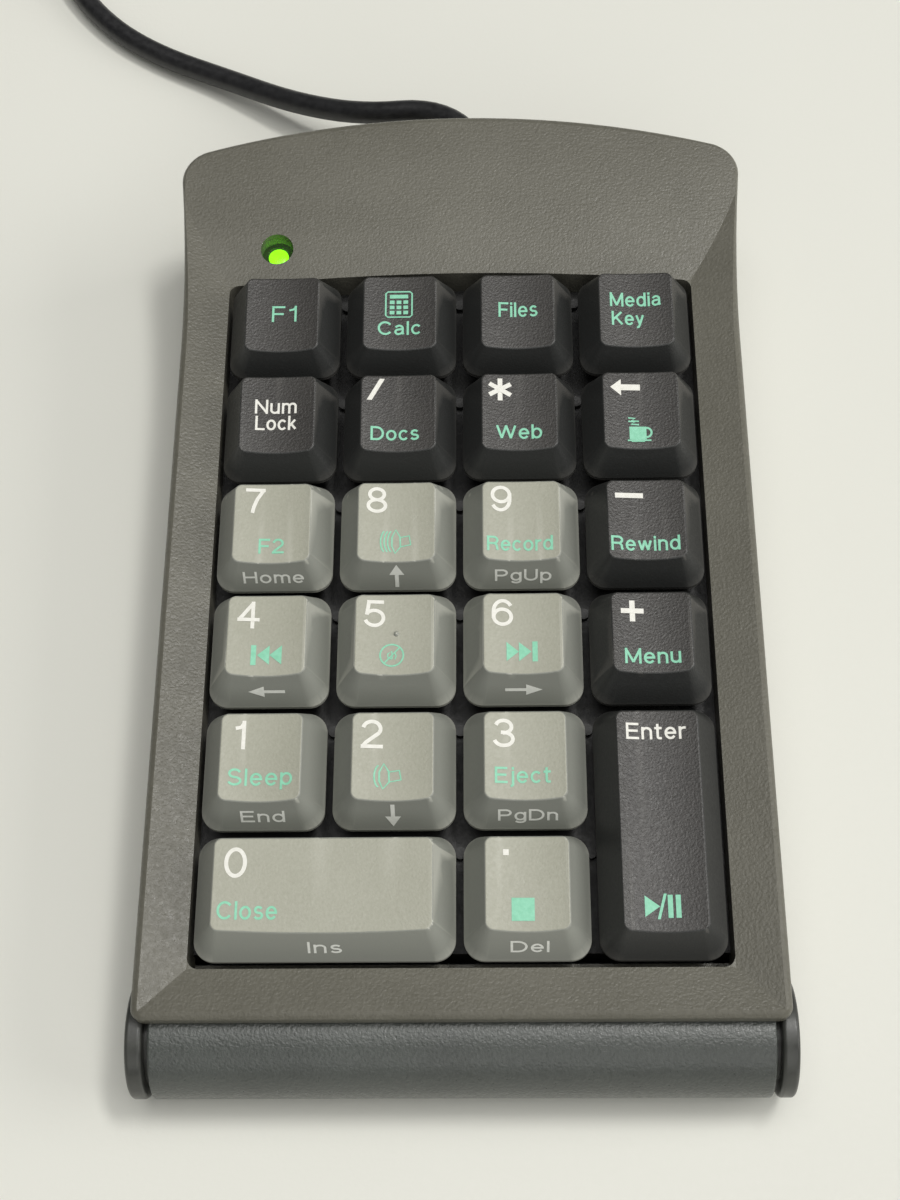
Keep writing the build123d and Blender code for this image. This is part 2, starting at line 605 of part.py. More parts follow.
# ---- fasteners and feet --------------------------------------------------------------------
def make_case_screws():
    """Six screws driven from below; each is its own solid."""
    screws = []
    for x, y in SCREW_SPOTS:
        seat = screw_seat(y)
        head = post(x, y, 1.95, seat - 1.3, seat)
        shank = post(x, y, 0.93, seat, -2.0)
        slot = block(x - 1.2, x + 1.2, y - 0.2, y + 0.2, seat - 2, seat - 0.8)
        cross = block(x - 0.2, x + 0.2, y - 1.2, y + 1.2, seat - 2, seat - 0.8)
        screws.append(on_deck(head + shank - slot - cross))
    return screws


def make_frame_screws():
    """Six small screws that hold the back plate, membrane and sheet to the key frame."""
    seat = PLATE_TOP - PLATE_THICK
    screws = []
    for x, y in FRAME_SCREWS:
        head = post(x, y, 1.7, seat - 1.0, seat)
        slot = block(x - 1.0, x + 1.0, y - 0.2, y + 0.2, seat - 2, seat - 0.6)
        screws.append(on_deck(head + post(x, y, 0.8, seat, FRAME_TOP - 2.0) - slot))
    return screws


def make_rubber_feet():
    """Four feet stuck in shallow recesses under the case."""
    feet = []
    for x, y in FOOT_SPOTS:
        foot = post(x, y, FOOT_R, 0, FOOT_GAP + 0.6)
        feet.append(chamfer(foot.edges().filter_by(GeomType.CIRCLE).sort_by(Axis.Z)[:1], 0.3))
    return feet


# ---- cord ----------------------------------------------------------------------------------
def bend_radii(points):
    """The largest arc that each corner's two runs allow."""
    radii = []
    for before, corner, after in zip(points, points[1:], points[2:]):
        run_in, run_out = Vector(*corner) - Vector(*before), Vector(*after) - Vector(*corner)
        half_turn = radians(run_in.get_angle(run_out)) / 2
        radii.append(0.45 * min(run_in.length, run_out.length) / tan(half_turn))
    return radii


def tube(points, name):
    """A round tube along straight runs joined by arcs; prints what it measures."""
    radii = bend_radii(points)
    path = FilletPolyline(*points, radius=radii)
    start = Plane(origin=path @ 0, z_dir=path % 0)
    solid = sweep(start * Circle(CORD / 2), path=path)
    print(name, "radii", [round(r, 1) for r in radii], "length", round(path.length, 1),
          "volume ratio", round(solid.volume / (pi * CORD ** 2 / 4 * path.length), 4))
    return solid


def make_cord_coil():
    """Outer shape of the coiled length."""
    ring = post(COIL_X, COIL_Y, COIL_OUT, COIL_FOOT, COIL_FOOT + COIL_HEIGHT)
    ring -= post(COIL_X, COIL_Y, COIL_IN, COIL_FOOT - 1, COIL_FOOT + COIL_HEIGHT + 1)
    return fillet(ring.edges().filter_by(GeomType.CIRCLE), 1.6)


def make_cord_tie():
    """A strap round the coil, on the side away from the keypad."""
    gap = 0.1
    half = TIE_WIDTH / 2
    y0, y1 = COIL_Y + (COIL_IN ** 2 - half ** 2) ** 0.5 - gap, COIL_Y + COIL_OUT + gap
    z0, z1 = COIL_FOOT - gap, COIL_FOOT + COIL_HEIGHT + gap
    x0, x1 = COIL_X - half, COIL_X + half
    outer = block(x0, x1, y0 - TIE_THICK, y1 + TIE_THICK, z0 - TIE_THICK, z1 + TIE_THICK)
    outer = fillet(outer.edges().filter_by(Axis.X), 1.0)
    return outer - block(x0 - 1, x1 + 1, y0, y1, z0, z1)


def make_strain_relief():
    """Rubber gland in the rear wall, tapered outside and flanged inside."""
    wall_out, wall_in = 81.5, 79.3
    outside = Pos(EXIT_X, wall_out + 1.4, EXIT_Z) * Rot(-90, 0, 0) * Cone(4.0, 3.0, 2.8)
    neck = bar_y(EXIT_X, EXIT_Z, 2.92, wall_in - 0.5, wall_out + 0.5)
    flange = bar_y(EXIT_X, EXIT_Z, 4.1, wall_in - 1.45, wall_in - 0.35)
    return outside + neck + flange - bar_y(EXIT_X, EXIT_Z, CORD / 2, 60, 100)


def plug_axis():
    """Plane at the end of the tail, with its Z along the plug."""
    last, before = Vector(*TAIL[-1]), Vector(*TAIL[-2])
    heading = last - before
    return Plane(origin=last, x_dir=(0, 0, 1), z_dir=Vector(heading.X, heading.Y, 0))


def make_plug_body():
    """Moulded grip: a ringed boot that widens into a round body."""
    boot = Pos(0, 0, BOOT_LENGTH / 2) * Cone(3.0, 4.6, BOOT_LENGTH)
    for z in (2.5, 5.0, 7.5):
        boot -= Pos(0, 0, z) * (Cylinder(6, 0.7) - Cylinder(2.75 + z * 0.17, 0.7))
    grip = Pos(0, 0, BOOT_LENGTH + PLUG_LENGTH / 2) * Cylinder(PLUG_R, PLUG_LENGTH)
    grip = fillet(grip.edges().filter_by(GeomType.CIRCLE), 1.2)
    flat = Pos(PLUG_R + 0.6, 0, BOOT_LENGTH + PLUG_LENGTH / 2) * Box(2.4, 6, 14)
    return plug_axis().location * (boot + grip - flat)


def make_plug_shell():
    """Metal shroud of the plug, with its three locating dents."""
    low = BOOT_LENGTH + PLUG_LENGTH
    shell = Pos(0, 0, low + SHELL_LENGTH / 2) * Cylinder(SHELL_R, SHELL_LENGTH)
    shell -= Pos(0, 0, low + SHELL_LENGTH / 2 + 0.8) * Cylinder(SHELL_R - SHELL_WALL, SHELL_LENGTH)
    for angle in (0, 90, 180):
        shell -= Rot(0, 0, angle) * Pos(SHELL_R, 0, low + SHELL_LENGTH - 1.5) * Box(0.5, 1.4, 3.2)
    return plug_axis().location * shell


def make_plug_pins():
    """Six pins and the plastic key between them; each is its own solid."""
    low = BOOT_LENGTH + PLUG_LENGTH + 0.8
    spots = [(2.9 * cos(radians(a)), 2.9 * sin(radians(a))) for a in (30, 90, 150, 210, 270, 330)]
    pins = [Pos(x, y, low + 2.9) * Cylinder(0.45, 5.8) for x, y in spots]
    pins.append(Pos(0, 0, low + 2.9) * Box(1.2, 2.4, 5.8))
    return [plug_axis().location * pin for pin in pins]


# ---- all nodes -----------------------------------------------------------------------------
def main():
    save("top_case", on_deck(make_top_case()))
    save("bottom_case", make_bottom_case())
    save("front_roll", on_deck(make_front_roll()))
    save("left_end_cap", on_deck(make_end_cap(-1)))
    save("right_end_cap", on_deck(make_end_cap(1)))
    for key in KEYS:
        save(key[0], make_key(*key))
    save("zero_stabiliser", on_deck(make_stabiliser("key_0")))
    save("enter_stabiliser", on_deck(make_stabiliser("key_enter")))
    save("key_frame", make_key_frame())
    save("dome_sheet", make_dome_sheet())
    save("membrane", make_membrane())
    save("back_plate", make_back_plate())
    save("circuit_board", make_circuit_board())
    save("controller_chip", make_controller_chip())
    save("board_capacitor", make_board_capacitor())
    save("cord_socket", make_cord_socket())
    save("inner_leads", Compound(children=make_inner_leads()))
    save("tail_clamp", make_tail_clamp())
    save("indicator_lamp", make_indicator_lamp())
    save("lamp_window", make_lamp_window())
    save("case_screws", Compound(children=make_case_screws()))
    save("frame_screws", Compound(children=make_frame_screws()))
    save("rubber_feet", Compound(children=make_rubber_feet()))
    save("strain_relief", make_strain_relief())
    save("cord", tube(ROUTE, "cord"))
    save("cord_tail", tube(TAIL, "cord_tail"))
    save("cord_coil", make_cord_coil())
    save("cord_tie", make_cord_tie())
    save("plug_body", make_plug_body())
    save("plug_shell", make_plug_shell())
    save("plug_pins", Compound(children=make_plug_pins()))


main()
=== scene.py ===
"""Numeric keypad: camera, cord, materials, printed legends, floor and light."""
import json
from math import cos, hypot, pi, radians, sin

import bmesh
import bpy
from mathutils import Matrix, Vector
from mathutils.geometry import tessellate_polygon


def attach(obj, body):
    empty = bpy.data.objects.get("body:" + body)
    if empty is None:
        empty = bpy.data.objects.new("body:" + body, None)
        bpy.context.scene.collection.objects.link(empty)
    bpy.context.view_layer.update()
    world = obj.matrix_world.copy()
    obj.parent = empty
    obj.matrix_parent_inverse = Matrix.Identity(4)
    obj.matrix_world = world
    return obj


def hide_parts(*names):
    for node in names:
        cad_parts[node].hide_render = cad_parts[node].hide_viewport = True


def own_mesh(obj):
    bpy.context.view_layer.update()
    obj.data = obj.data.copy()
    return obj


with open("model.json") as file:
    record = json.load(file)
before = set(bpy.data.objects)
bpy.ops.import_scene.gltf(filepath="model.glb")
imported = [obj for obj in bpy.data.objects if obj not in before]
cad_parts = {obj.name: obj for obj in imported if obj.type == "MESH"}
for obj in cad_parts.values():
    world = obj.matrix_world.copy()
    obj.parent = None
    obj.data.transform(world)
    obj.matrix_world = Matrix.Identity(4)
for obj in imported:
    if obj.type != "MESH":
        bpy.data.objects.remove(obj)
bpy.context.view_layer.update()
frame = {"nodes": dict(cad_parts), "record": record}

NODES = frame["nodes"]
MM = 0.001

# ---- the key deck, as the part has it (millimetres) ------------------------------------------
TILT = radians(2.5)
DECK_Y, DECK_Z = -8.71, 21.139
DECK = Matrix.Translation((0, DECK_Y, DECK_Z)) @ Matrix.Rotation(TILT, 4, "X")
PITCH, SKIRT, SKIRT_BAND, TOP_WIDTH, DISH = 19.05, 17.94, 0.7, 11.8, 0.6
# each row from the rear: front and back edge of the keytop from the key's centre, their heights
ROW_TOPS = [
    (-6.65, 6.35, 6.1, 6.9),
    (-6.25, 6.75, 6.2, 6.8),
    (-6.35, 6.55, 6.3, 6.6),
    (-5.75, 6.75, 6.5, 6.4),
    (-6.00, 6.95, 6.5, 6.5),
    (-5.80, 7.30, 6.4, 6.5),
]

# ---- pieces made here: the lamp's face and the rubber sheet with its domes (millimetres) --------
LAMP_X, LAMP_Y = -30.75, 63.9
LAMP_FACE = [(0.6, -1.13), (1.1, -1.2), (1.45, -1.3), (1.68, -1.46), (1.7, -1.58)]     # radius, height
SHEET_TOP, SHEET_THICK = -11.2, 0.6
SHEET_LOW, SHEET_HIGH = (-38.6, -54.1), (38.6, 57.5)
SCREW_HOLE = 1.0
SCREW_PLACES = [(-1, 1), (1, 1), (-1, -1), (1, -1), (0, 2), (0, -2)]      # in key pitches
DOME_TOP, DOME_CEILING = -7.3, -8.2
DOME_RIM, DOME_RIM_IN, DOME_TOP_R, DOME_CEILING_R = 4.3, 3.65, 3.0, 2.4
ROUND = 32                         # sides of a turned piece


def add_object(name, data):
    made = bpy.data.objects.new(name, data)
    bpy.context.scene.collection.objects.link(made)
    return made


# ---- camera ----------------------------------------------------------------------------------
CAMERA_LENS = 69.257               # for a sensor 36 mm wide
CAMERA_PLACE = (0.00537, -0.129227, 0.258116)
CAMERA_RIGHT = Vector((0.99962, 0.00288, -0.02751))
CAMERA_UP = Vector((0.00982, 0.89281, 0.45032))
CAMERA_BACK = Vector((0.02586, -0.45042, 0.89244))


def make_camera():
    data = bpy.data.cameras.new("camera")
    data.sensor_fit = "HORIZONTAL"
    data.sensor_width = 36.0
    data.lens = CAMERA_LENS
    data.clip_start = 0.01
    camera = add_object("camera", data)
    turn = Matrix((CAMERA_RIGHT, CAMERA_UP, CAMERA_BACK)).transposed().to_4x4()
    camera.matrix_world = Matrix.Translation(CAMERA_PLACE) @ turn
    bpy.context.scene.camera = camera


# ---- materials -------------------------------------------------------------------------------
def srgb(red, green, blue):
    """An 8-bit display colour as linear RGBA."""
    display = (red / 255, green / 255, blue / 255)
    linear = [v / 12.92 if v <= 0.04045 else ((v + 0.055) / 1.055) ** 2.4 for v in display]
    return (*linear, 1.0)


class Surface:
    """A principled material that grows node by node."""

    def __init__(self, name):
        self.material = bpy.data.materials.new(name)
        self.material.use_nodes = True
        self.nodes = self.material.node_tree.nodes
        self.links = self.material.node_tree.links
        self.nodes.clear()
        self.shader = self.node("ShaderNodeBsdfPrincipled")
        self.output = self.node("ShaderNodeOutputMaterial")
        self.links.new(self.shader.outputs[0], self.output.inputs["Surface"])
        self.place = self.node("ShaderNodeTexCoord").outputs["Object"]

    def node(self, kind, **settings):
        made = self.nodes.new(kind)
        for key, value in settings.items():
            setattr(made, key, value)
        return made

    def set(self, **values):
        for key, value in values.items():
            self.shader.inputs[key.replace("_", " ")].default_value = value

    def feed(self, key, value):
        """Link an output into the shader."""
        self.links.new(value, self.shader.inputs[key])

    def noise(self, scale, detail=3.0, stretch=(1, 1, 1)):
        """Noise in the part's own frame; scale is in cells per metre."""
        mapping = self.node("ShaderNodeMapping")
        mapping.inputs["Scale"].default_value = stretch
        self.links.new(self.place, mapping.inputs["Vector"])
        noise = self.node("ShaderNodeTexNoise")
        noise.inputs["Scale"].default_value = scale
        noise.inputs["Detail"].default_value = detail
        self.links.new(mapping.outputs[0], noise.inputs["Vector"])
        return noise.outputs["Fac"]

    def spread(self, value, low, high, to_low=0.0, to_high=1.0):
        """Map a range of a value on another."""
        ranged = self.node("ShaderNodeMapRange")
        self.links.new(value, ranged.inputs["Value"])
        for key, number in (("From Min", low), ("From Max", high), ("To Min", to_low), ("To Max", to_high)):
            ranged.inputs[key].default_value = number
        return ranged.outputs[0]

    def blend(self, value, first, second):
        """Mix two colours, each an RGBA or another colour output."""
        mix = self.node("ShaderNodeMix", data_type="RGBA")
        self.links.new(value, mix.inputs["Factor"])
        for socket, colour in ((mix.inputs["A"], first), (mix.inputs["B"], second)):
            if isinstance(colour, tuple):
                socket.default_value = colour
            else:
                self.links.new(colour, socket)
        return mix.outputs["Result"]

    def times(self, first, second, operation="MULTIPLY"):
        math = self.node("ShaderNodeMath", operation=operation)
        for socket, value in zip(math.inputs, (first, second)):
            if isinstance(value, (int, float)):
                socket.default_value = value
            else:
                self.links.new(value, socket)
        return math.outputs[0]

    def bump(self, height, distance, strength=1.0):
        """Stack one more bump on the shader's normal; distance in metres."""
        bump = self.node("ShaderNodeBump")
        bump.inputs["Distance"].default_value = distance
        bump.inputs["Strength"].default_value = strength
        self.links.new(height, bump.inputs["Height"])
        normal = self.shader.inputs["Normal"]
        if normal.is_linked:
            self.links.new(normal.links[0].from_socket, bump.inputs["Normal"])
        self.links.new(bump.outputs[0], normal)

    def facing_up(self, low=0.93, high=0.985):
        """1 on a surface that faces up, 0 on the sides."""
        geometry = self.node("ShaderNodeNewGeometry")
        split = self.node("ShaderNodeSeparateXYZ")
        self.links.new(geometry.outputs["True Normal"], split.inputs[0])
        return self.spread(split.outputs["Z"], low, high)

    def edges(self, low=0.52, high=0.6):
        """1 along outer edges, where a paler colour is painted as the highlight of the rounded edges."""
        geometry = self.node("ShaderNodeNewGeometry")
        return self.spread(geometry.outputs["Pointiness"], low, high)


def grained_plastic(name, colour, worn, rough=0.5, grain=2600.0, depth=0.00003, specular=0.5):
    """Moulded plastic with a spark-eroded grain, faint mottling and edges lightened as a painted highlight."""
    s = Surface(name)
    mottle = s.spread(s.noise(55.0, 4.0), 0.35, 0.65)
    fleck = s.spread(s.noise(grain * 0.7, 2.0), 0.3, 0.7)
    tone = s.blend(s.times(s.times(mottle, 0.5), s.times(fleck, 0.5), "ADD"), colour, worn)
    # painted highlight: the edges blend part way towards the paler colour, standing in for light on the
    # rounded edges
    s.feed("Base Color", s.blend(s.times(s.edges(), 0.35), tone, worn))
    s.feed("Roughness", s.spread(s.noise(grain * 0.5, 3.0), 0.3, 0.7, rough - 0.07, rough + 0.08))
    s.set(Specular_IOR_Level=specular)
    s.bump(s.noise(grain, 2.0), depth)
    return s


def key_plastic(name, top, side, worn, edge_highlight, rough_top, rough_side, depth):
    """Keycap plastic: grained on the keytop, smoother on the sloping sides; painted shade on the sides and a
    painted edge highlight.
    """
    s = Surface(name)
    up = s.facing_up()
    grit = s.spread(s.noise(2100.0, 2.0), 0.3, 0.7)
    mottle = s.spread(s.noise(70.0, 3.0), 0.35, 0.65)
    face = s.blend(s.times(s.times(grit, 0.55), s.times(mottle, 0.35), "ADD"), top, worn)
    # painted shade: the sloping sides get a colour of their own, darker than the keytop on the light keys
    tone = s.blend(up, side, face)
    # painted highlight: the edges blend towards a pale colour, standing in for light on the rounded edges
    s.feed("Base Color", s.blend(s.times(s.edges(), 0.5), tone, edge_highlight))
    uneven = s.spread(s.noise(1700.0, 2.0), 0.3, 0.7, -0.06, 0.06)
    s.feed("Roughness", s.times(s.spread(up, 0, 1, rough_side, rough_top), uneven, "ADD"))
    s.set(Specular_IOR_Level=0.5)
    s.bump(s.times(s.noise(2900.0, 2.0), s.spread(up, 0, 1, 0.35, 1.0)), depth)
    return s


def satin(name, colour, second, rough=0.4, scale=400.0, metallic=0.0, depth=0.00001):
    """A smooth surface with slight changes of tone, gloss and level."""
    s = Surface(name)
    s.feed("Base Color", s.blend(s.spread(s.noise(scale, 4.0), 0.35, 0.65), colour, second))
    s.feed("Roughness", s.spread(s.noise(scale * 2, 3.0), 0.3, 0.7, rough - 0.06, rough + 0.08))
    s.set(Metallic=metallic)
    s.bump(s.noise(scale * 6, 2.0), depth)
    return s


def brushed(name, colour, second, rough=0.32):
    """Drawn or rolled steel with fine lines along X."""
    s = Surface(name)
    lines = s.noise(3000.0, 3.0, (0.03, 1, 1))
    s.feed("Base Color", s.blend(lines, colour, second))
    s.feed("Roughness", s.spread(lines, 0.3, 0.7, rough - 0.08, rough + 0.1))
    s.set(Metallic=1.0)
    s.bump(lines, 0.00001, 0.5)
    return s


def printed_film(name):
    """Clear switch film with carbon tracks seen through it."""
    s = Surface(name)
    brick = s.node("ShaderNodeTexBrick")
    brick.inputs["Scale"].default_value = 160.0
    brick.inputs["Mortar Size"].default_value = 0.03
    s.links.new(s.place, brick.inputs["Vector"])
    s.feed("Base Color", s.blend(brick.outputs["Fac"], srgb(196, 204, 198), srgb(70, 72, 74)))
    s.feed("Roughness", s.spread(s.noise(300.0), 0.3, 0.7, 0.18, 0.3))
    return s


def board_green(name):
    """Green solder mask over a pattern of tracks."""
    s = Surface(name)
    tracks = s.node("ShaderNodeTexVoronoi", feature="DISTANCE_TO_EDGE")
    tracks.inputs["Scale"].default_value = 260.0
    s.links.new(s.place, tracks.inputs["Vector"])
    line = s.spread(tracks.outputs["Distance"], 0.05, 0.09)
    s.feed("Base Color", s.blend(line, srgb(58, 128, 76), srgb(26, 84, 48)))
    s.feed("Roughness", s.spread(s.noise(500.0), 0.3, 0.7, 0.25, 0.4))
    s.bump(line, 0.00003)
    return s


def clear_window(name):
    """Thin clear plastic: mostly seen through, with a trace of haze."""
    s = satin(name, srgb(120, 160, 95), srgb(105, 146, 84), 0.06, depth=0.0)
    s.set(Alpha=0.13)
    return s


def lit_lens(name):
    """The lamp's tinted lens, bright at its heart."""
    s = satin(name, srgb(70, 150, 10), srgb(84, 166, 14), 0.2)
    glow = s.blend(s.spread(s.noise(900.0), 0.3, 0.7), srgb(126, 250, 0), srgb(140, 255, 4))
    s.feed("Emission Color", glow)
    s.set(Emission_Strength=2.0)
    return s


def ink(name, colour, second):
    """Pad-printed ink, a little uneven where it has worn."""
    return satin(name, colour, second, 0.5, 1500.0)


def floor_white(name):
    """A pale smooth table top with a very fine weave."""
    s = Surface(name)
    s.feed("Base Color", s.blend(s.noise(9.0, 3.0), srgb(230, 230, 221), srgb(235, 235, 227)))
    s.feed("Roughness", s.spread(s.noise(1200.0, 2.0), 0.3, 0.7, 0.55, 0.75))
    s.bump(s.noise(1400.0, 2.0), 0.00002)
    return s


COARSE_GRAIN, COARSE_DEPTH = 2300.0, 0.0001        # cells per metre, metres


def slot_materials():
    """One material for each slot of the record."""
    return {
        # grained plastics: base colour, then a paler one for the mottle and for the edges, where it is a
        # painted highlight
        "case_plastic": grained_plastic("case_plastic", srgb(96, 94, 84), srgb(112, 110, 100),
                                        0.36, COARSE_GRAIN, COARSE_DEPTH, 0.4),
        "roll_plastic": grained_plastic("roll_plastic", srgb(66, 69, 66), srgb(79, 83, 79),
                                        0.34, COARSE_GRAIN, COARSE_DEPTH, 0.7),
        "disc_plastic": satin("disc_plastic", srgb(60, 61, 58), srgb(70, 71, 67), 0.34),
        # keycaps: keytop, sides, paler mottle, then the pale edge colour, a painted highlight; the light keys'
        # darker sides are painted shade
        "dark_key": key_plastic("dark_key", srgb(50, 48, 46), srgb(52, 53, 52), srgb(66, 64, 61),
                                srgb(104, 102, 98), 0.4, 0.4, 0.00008),
        "light_key": key_plastic("light_key", srgb(166, 166, 150), srgb(146, 148, 140), srgb(178, 178, 163),
                                 srgb(214, 214, 202), 0.46, 0.42, 0.00004),
        "frame_plastic": grained_plastic("frame_plastic", srgb(22, 22, 22), srgb(30, 30, 29), 0.5),
        "dome_rubber": satin("dome_rubber", srgb(120, 124, 124), srgb(134, 138, 138), 0.6),
        "film": printed_film("film"),
        "steel": brushed("steel", srgb(160, 163, 165), srgb(176, 178, 180)),
        "wire_steel": brushed("wire_steel", srgb(172, 175, 178), srgb(186, 188, 190), 0.22),
        "board": board_green("board"),
        "chip": satin("chip", srgb(30, 30, 32), srgb(40, 40, 42), 0.5, 900.0),
        "capacitor": satin("capacitor", srgb(60, 66, 110), srgb(70, 76, 122), 0.3),
        "socket_plastic": satin("socket_plastic", srgb(222, 219, 202), srgb(232, 229, 214), 0.4),
        "lead_sleeve": satin("lead_sleeve", srgb(150, 40, 36), srgb(164, 50, 44), 0.45),
        "lamp_lens": lit_lens("lamp_lens"),
        "clear_window": clear_window("clear_window"),
        "foot_rubber": satin("foot_rubber", srgb(30, 30, 32), srgb(42, 42, 44), 0.7, 900.0),
        "cord_jacket": satin("cord_jacket", srgb(30, 30, 31), srgb(42, 42, 43), 0.38, 700.0),
        "tie_strap": satin("tie_strap", srgb(40, 40, 42), srgb(52, 52, 54), 0.5),
        "plug_plastic": grained_plastic("plug_plastic", srgb(38, 38, 41), srgb(52, 52, 55), 0.45),
        "plug_metal": brushed("plug_metal", srgb(196, 198, 202), srgb(210, 212, 216), 0.18),
        "pin_brass": satin("pin_brass", srgb(196, 160, 84), srgb(210, 176, 98), 0.25, 800.0, 1.0),
    }


def dress_nodes(materials):
    """Give each CAD node the material of its slot."""
    for part in frame["record"]["subparts"]:
        mesh = NODES[part["node"]].data
        mesh.materials.clear()
        mesh.materials.append(materials[part["material_slot"]].material)


# ---- cord ------------------------------------------------------------------------------------
CORD = 4.1
ROUTE = [
    (4.0, 74.0, 14.0), (4.0, 87.5, 14.0), (-4.5, 96.8, 12.6), (-18.5, 98.4, 9.6),
    (-32.0, 105.0, 5.8), (-45.5, 113.7, 3.1), (-60.0, 121.0, 2.4), (-71.0, 129.6, 2.3),
    (-79.5, 141.2, 2.6), (-85.0, 155.0, 4.6),
]
COIL_X, COIL_Y, COIL_MID, COIL_FOOT = -116.0, 176.0, 22.9, 0.9
TAIL = [(-147.0, 172.0, 3.2), (-147.6, 160.0, 3.7), (-146.8, 148.5, 6.35), (-145.6, 137.5, 6.35)]
STEPS_A_TURN = 24
TURNS = 4                          # on each of the coil's two layers
STEP_DOWN = 0.5                    # the part of a turn from the upper layer to the lower


def coil_points():
    """Four turns inwards on the upper layer, half a turn down, four turns outwards below."""
    outer, inner = COIL_MID + 2 * CORD, COIL_MID - 2 * CORD
    high, low = COIL_FOOT + 1.5 * CORD, COIL_FOOT + 0.5 * CORD
    points = []
    for step in range(int((2 * TURNS + STEP_DOWN) * STEPS_A_TURN)):
        turn = step / STEPS_A_TURN
        if turn < TURNS:
            radius, z = outer - CORD * turn, high
        elif turn < TURNS + STEP_DOWN:
            radius, z = inner, high + (low - high) * (turn - TURNS) / STEP_DOWN
        else:
            radius, z = inner + CORD * (turn - TURNS - STEP_DOWN), low
        angle = 2 * pi * turn
        points.append((COIL_X + radius * cos(angle), COIL_Y + radius * sin(angle), z))
    return points


def make_cord(materials):
    points = ROUTE + coil_points() + TAIL
    curve = bpy.data.curves.new("cord_line", "CURVE")
    curve.dimensions = "3D"
    spline = curve.splines.new("NURBS")
    spline.points.add(len(points) - 1)
    for point, place in zip(spline.points, points):
        point.co = (*[v * MM for v in place], 1.0)
    spline.order_u = 3
    spline.use_endpoint_u = True
    spline.resolution_u = 6
    curve.bevel_depth = CORD / 2 * MM
    curve.bevel_resolution = 6
    curve.use_fill_caps = True
    curve.materials.append(materials["cord_jacket"].material)
    cord = add_object("cord_line", curve)
    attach(cord, "case")
    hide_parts("cord", "cord_coil", "cord_tail")


# ---- flat shapes for the legends, in millimetres ----------------------------------------------
LAYER = 0.0015                     # height between strokes that cross


class Shape:
    """Flat faces, each a list of corner numbers; a corner is (x, y, lift)."""

    def __init__(self, corners=(), faces=()):
        self.corners, self.faces = list(corners), list(faces)

    def __add__(self, other):
        base = len(self.corners)
        above = max([c[2] for c in self.corners], default=-LAYER) + LAYER
        raised = [(x, y, lift + above) for x, y, lift in other.corners]
        moved = [[i + base for i in face] for face in other.faces]
        return Shape(self.corners + raised, self.faces + moved)

    def box(self):
        xs, ys = [c[0] for c in self.corners], [c[1] for c in self.corners]
        return min(xs), min(ys), max(xs), max(ys)

    def moved(self, dx, dy, sx=1.0, sy=1.0):
        return facing(Shape([(x * sx + dx, y * sy + dy, lift) for x, y, lift in self.corners], self.faces))

    def fitted(self, x, y, width, height):
        """Scaled to a box of this size, centred on (x, y)."""
        x0, y0, x1, y1 = self.box()
        sx, sy = width / (x1 - x0), height / (y1 - y0)
        return self.moved(x - (x0 + x1) / 2 * sx, y - (y0 + y1) / 2 * sy, sx, sy)


def polygon(*corners):
    triangles = tessellate_polygon([[Vector((x, y, 0)) for x, y in corners]])
    return facing(Shape([(x, y, 0.0) for x, y in corners], [list(t) for t in triangles]))


def facing(shape):
    """Turn every face towards the reader."""
    faces = []
    for face in shape.faces:
        (ax, ay, _), (bx, by, _), (cx, cy, _) = [shape.corners[i] for i in face[:3]]
        area = (bx - ax) * (cy - ay) - (cx - ax) * (by - ay)
        faces.append(face if area > 0 else face[::-1])
    return Shape(shape.corners, faces)


def bar(x0, y0, x1, y1):
    return polygon((x0, y0), (x1, y0), (x1, y1), (x0, y1))


def line(points, width, closed=False):
    """A stroke of even width through the points."""
    count = len(points)
    sides = []
    for i, (x, y) in enumerate(points):
        before = points[i - 1] if closed or i else points[i]
        after = points[(i + 1) % count] if closed or i < count - 1 else points[i]
        dx, dy = after[0] - before[0], after[1] - before[1]
        size = hypot(dx, dy)
        sides.append((-dy / size * width / 2, dx / size * width / 2))
    corners = [(x + a, y + b, 0.0) for (x, y), (a, b) in zip(points, sides)]
    corners += [(x - a, y - b, 0.0) for (x, y), (a, b) in zip(points, sides)]
    runs = count if closed else count - 1
    faces = [[i, (i + 1) % count, count + (i + 1) % count, count + i] for i in range(runs)]
    return facing(Shape(corners, faces))


def circle(x, y, radius):
    angles = [2 * pi * i / ROUND for i in range(ROUND)]
    return [(x + radius * cos(a), y + radius * sin(a)) for a in angles]


def bow(x, y, radius_x, radius_y, start, end, steps=14):
    """Points along a part of an ellipse."""
    angles = [radians(start + (end - start) * i / steps) for i in range(steps + 1)]
    return [(x + radius_x * cos(a), y + radius_y * sin(a)) for a in angles]


def arc(x, y, radius_x, radius_y, start, end, width):
    return line(bow(x, y, radius_x, radius_y, start, end, 20), width)


def oval(x, y, radius_x, radius_y):
    return bow(x, y, radius_x, radius_y, 0, 360, 28)


BOWL = oval(0.25, 0.36, 0.25, 0.36)
